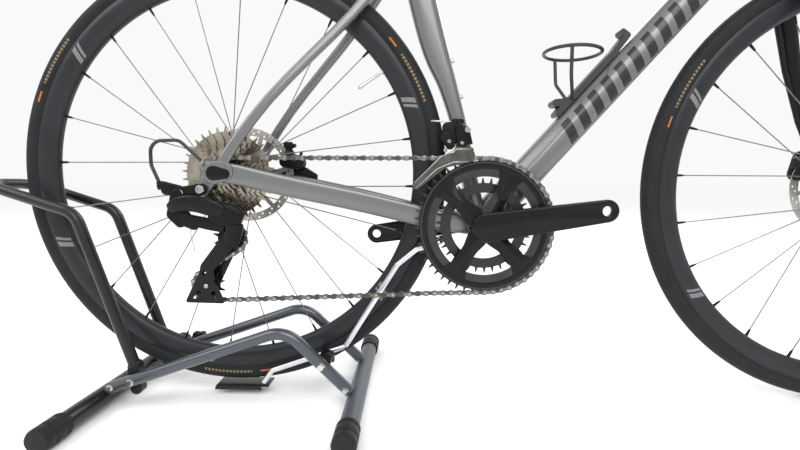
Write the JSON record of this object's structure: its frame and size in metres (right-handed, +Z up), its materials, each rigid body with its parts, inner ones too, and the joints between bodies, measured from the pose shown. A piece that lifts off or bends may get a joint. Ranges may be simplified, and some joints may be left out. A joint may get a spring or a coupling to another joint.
{
  "type": "bicycle on stand",
  "caption": "Drop-bar road bicycle with disc brakes and no pedals, its rear wheel held upright in a folding floor stand of bent tubes, a wheel hoop and a wire loop.",
  "frame": {"origin": "middle of the whole object's footprint on the floor", "axes": "+X forwards, from the stand's hoop to the front wheel; +Y to the rider's left; +Z up; the drive side faces -Y"},
  "size_m": [1.7021, 0.4612, 0.9925],
  "materials": {
    "stand_grey": "satin",
    "stand_black": "satin",
    "bright_wire": "polished",
    "bolt_steel": "bright",
    "black_plastic": "matte",
    "frame_grey": "gloss",
    "black_gloss": "gloss",
    "alloy_black": "satin",
    "cog_steel": "bright",
    "chain_steel": "oiled",
    "tyre_rubber": "matte",
    "grip_rubber": "matte",
    "saddle_cover": "matte"
  },
  "bodies": {
    "stand": {"stand_front_tube": "stand_grey", "stand_rear_tube": "stand_black", "stand_side_tubes": "stand_grey", "stand_wire_loop": "bright_wire", "stand_cradle_plate": "stand_black", "stand_wire_brackets": "stand_black", "stand_end_caps": "black_plastic", "stand_bolts": "bolt_steel"},
    "wheel_hoop": {"stand_wheel_hoop": "stand_black"},
    "lock_knob": {"stand_lock_knob": "black_plastic"},
    "bike": {"head_tube": "frame_grey", "top_tube": "frame_grey", "down_tube": "frame_grey", "seat_tube": "frame_grey", "bottom_bracket_shell": "frame_grey", "chainstays": "frame_grey", "seatstays": "frame_grey", "frame_fasteners": "alloy_black", "frame_bearings": "alloy_black", "chain": "chain_steel", "front_derailleur": "alloy_black", "front_derailleur_cage": "bright_wire", "rear_derailleur": "black_gloss", "derailleur_cage": "black_gloss", "shift_cable_housing": "black_plastic", "rear_brake_caliper": "alloy_black", "bottle_cage": "black_plastic", "rear_thru_axle": "alloy_black"},
    "steering": {"fork": "black_gloss", "stem": "alloy_black", "handlebar": "alloy_black", "bar_tape": "grip_rubber", "lever_hoods": "grip_rubber", "front_thru_axle": "alloy_black", "front_brake_caliper": "alloy_black"},
    "front_wheel": {"front_tyre": "tyre_rubber", "front_rim": "alloy_black", "front_spokes": "bolt_steel", "front_hub": "alloy_black", "front_rotor": "bolt_steel"},
    "rear_wheel": {"rear_tyre": "tyre_rubber", "rear_rim": "alloy_black", "rear_spokes": "bolt_steel", "rear_hub": "alloy_black", "rear_rotor": "bolt_steel"},
    "sprockets": {"cassette": "cog_steel"},
    "crankset": {"crank_arm_right": "black_gloss", "crank_arm_left": "black_gloss", "outer_chainring": "black_gloss", "inner_chainring": "alloy_black"},
    "guide_wheel": {"guide_pulley": "black_plastic"},
    "tension_wheel": {"tension_pulley": "black_plastic"},
    "brake_lever_right": {"brake_lever_right": "alloy_black"},
    "brake_lever_left": {"brake_lever_left": "alloy_black"},
    "shift_lever_right": {"shift_lever_right": "black_plastic"},
    "shift_lever_left": {"shift_lever_left": "black_plastic"},
    "saddle_post": {"seatpost": "alloy_black", "saddle_shell": "black_plastic", "saddle_padding": "saddle_cover", "saddle_rails": "bolt_steel"}
  },
  "joints": [
    {"name": "hoop_fold", "type": "hinge", "parent": "stand", "child": "wheel_hoop", "pos_m": [-0.61563, 0, 0.0435], "axis": [0, -1, 0], "range_deg": [0, 25]},
    {"name": "lock_knob_turn", "type": "hinge", "parent": "stand", "child": "lock_knob", "pos_m": [-0.58363, 0.083, 0.0546], "axis": [0, 1, 0], "range_deg": [-180, 180]},
    {"name": "lift_off_stand", "type": "slide", "parent": "stand", "child": "bike", "axis": [0, 0, 1], "range_m": [0, 0.35]},
    {"name": "steering_turn", "type": "hinge", "parent": "bike", "child": "steering", "pos_m": [0.36774, 0, 0.68725], "axis": [-0.2713, 0, 0.9625], "range_deg": [-60, 60]},
    {"name": "front_wheel_spin", "type": "hinge", "parent": "steering", "child": "front_wheel", "pos_m": [0.51213, 0, 0.339], "axis": [0, 1, 0], "continuous": true},
    {"name": "rear_wheel_spin", "type": "hinge", "parent": "bike", "child": "rear_wheel", "pos_m": [-0.47163, 0, 0.3606], "axis": [0, 1, 0], "continuous": true},
    {"name": "crank_turn", "type": "hinge", "parent": "bike", "child": "crankset", "pos_m": [-0.07826, 0, 0.28195], "axis": [0, 1, 0], "continuous": true, "deforming": ["chain"]},
    {"name": "sprocket_turn", "type": "hinge", "parent": "bike", "child": "sprockets", "pos_m": [-0.47163, 0, 0.3606], "axis": [0, 1, 0], "continuous": true},
    {"name": "guide_pulley_turn", "type": "hinge", "parent": "bike", "child": "guide_wheel", "pos_m": [-0.45572, 0, 0.26523], "axis": [0, 1, 0], "continuous": true},
    {"name": "tension_pulley_turn", "type": "hinge", "parent": "bike", "child": "tension_wheel", "pos_m": [-0.49173, 0, 0.19379], "axis": [0, 1, 0], "continuous": true},
    {"name": "brake_right_pull", "type": "hinge", "parent": "steering", "child": "brake_lever_right", "pos_m": [0.55624, -0.211, 0.89016], "axis": [0, 1, 0], "range_deg": [0, 14], "stiffness_Nm_per_rad": 0.8, "springref_deg": -20.05},
    {"name": "brake_left_pull", "type": "hinge", "parent": "steering", "child": "brake_lever_left", "pos_m": [0.55624, 0.211, 0.89016], "axis": [0, 1, 0], "range_deg": [0, 14], "stiffness_Nm_per_rad": 0.8, "springref_deg": -20.05},
    {"name": "shift_right_push", "type": "hinge", "parent": "brake_lever_right", "child": "shift_lever_right", "pos_m": [0.56136, -0.2008, 0.85004], "axis": [0.0973, 0, -0.9953], "range_deg": [0, 15], "stiffness_Nm_per_rad": 0.1, "springref_deg": -17.19},
    {"name": "shift_left_push", "type": "hinge", "parent": "brake_lever_left", "child": "shift_lever_left", "pos_m": [0.56136, 0.2008, 0.85004], "axis": [-0.0973, 0, 0.9953], "range_deg": [0, 15], "stiffness_Nm_per_rad": 0.1, "springref_deg": -17.19},
    {"name": "seat_height", "type": "slide", "parent": "bike", "child": "saddle_post", "axis": [-0.2528, 0, 0.9675], "range_m": [-0.05, 0.05]}
  ],
  "couplings": [
    {"joint": "sprocket_turn", "follows": "crank_turn", "ratio": 4.5455},
    {"joint": "tension_pulley_turn", "follows": "crank_turn", "ratio": 4.5455},
    {"joint": "guide_pulley_turn", "follows": "crank_turn", "ratio": -4.5455}
  ]
}
